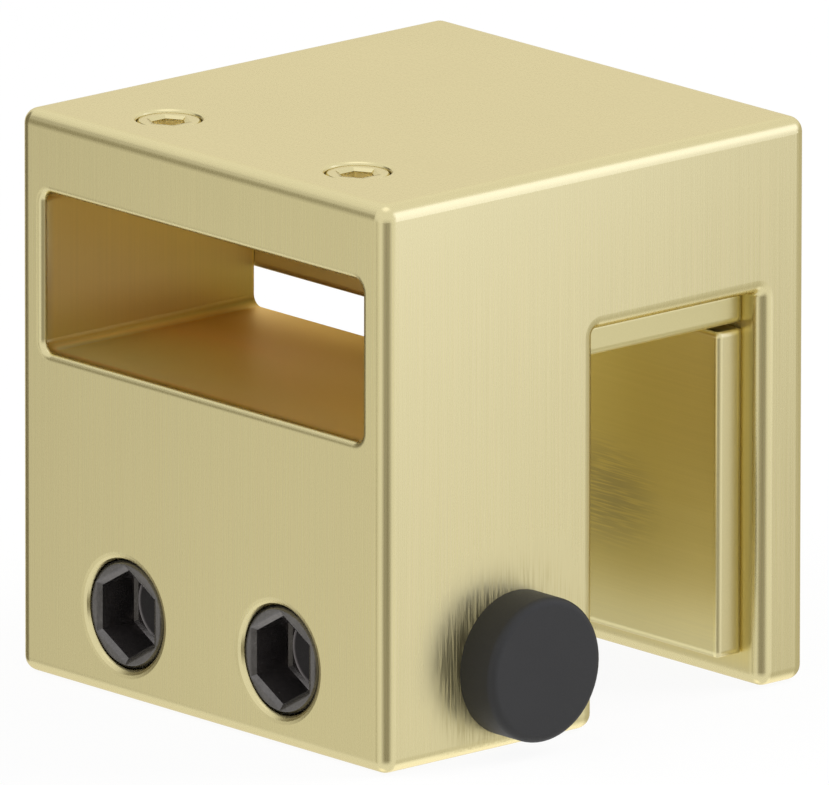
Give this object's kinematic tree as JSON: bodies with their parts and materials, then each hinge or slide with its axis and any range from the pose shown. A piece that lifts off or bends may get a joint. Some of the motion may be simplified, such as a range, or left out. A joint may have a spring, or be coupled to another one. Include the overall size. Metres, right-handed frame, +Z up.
{
  "type": "shower screen rail bracket",
  "caption": "Square brass block that clamps astride a glass panel's top edge, with a pocket for the end of a flat support rail and a rubber stop on one end.",
  "frame": {"origin": "middle of the glass channel's mouth, half way along the bracket, level with the feet of both legs", "axes": "X along the glass edge towards the end with the bumper, Y through the glass from the rail side to the far side, Z up; the glass leaves along -Z and the rail along -Y"},
  "size_m": [0.038, 0.036, 0.037],
  "materials": {
    "brushed_brass": "brushed, satin",
    "liner_brass": "brushed, satin",
    "screw_brass": "satin",
    "black_steel": "black oxide, satin",
    "black_rubber": "matte"
  },
  "bodies": {
    "bracket": {"body": "brushed_brass", "top_liner": "liner_brass", "back_liner": "liner_brass", "bumper": "black_rubber"},
    "clamp_plate": {"pressure_plate": "liner_brass"},
    "left_clamp_screw": {"clamp_screw_left": "black_steel"},
    "right_clamp_screw": {"clamp_screw_right": "black_steel"},
    "left_rail_screw": {"rail_screw_left": "screw_brass"},
    "right_rail_screw": {"rail_screw_right": "screw_brass"}
  },
  "joints": [
    {"name": "clamp_plate_feed", "type": "slide", "parent": "bracket", "child": "clamp_plate", "axis": [0, 1, 0], "range_m": [0, 0.0024]},
    {"name": "left_clamp_screw_feed", "type": "slide", "parent": "bracket", "child": "left_clamp_screw", "axis": [0, 1, 0], "range_m": [0, 0.0024]},
    {"name": "right_clamp_screw_feed", "type": "slide", "parent": "bracket", "child": "right_clamp_screw", "axis": [0, 1, 0], "range_m": [0, 0.0024]},
    {"name": "left_rail_screw_feed", "type": "slide", "parent": "bracket", "child": "left_rail_screw", "axis": [0, 0, -1], "range_m": [-0.003, 0.0015]},
    {"name": "right_rail_screw_feed", "type": "slide", "parent": "bracket", "child": "right_rail_screw", "axis": [0, 0, -1], "range_m": [-0.003, 0.0015]}
  ],
  "couplings": [
    {"joint": "left_clamp_screw_feed", "follows": "clamp_plate_feed", "ratio": 1},
    {"joint": "right_clamp_screw_feed", "follows": "clamp_plate_feed", "ratio": 1}
  ]
}
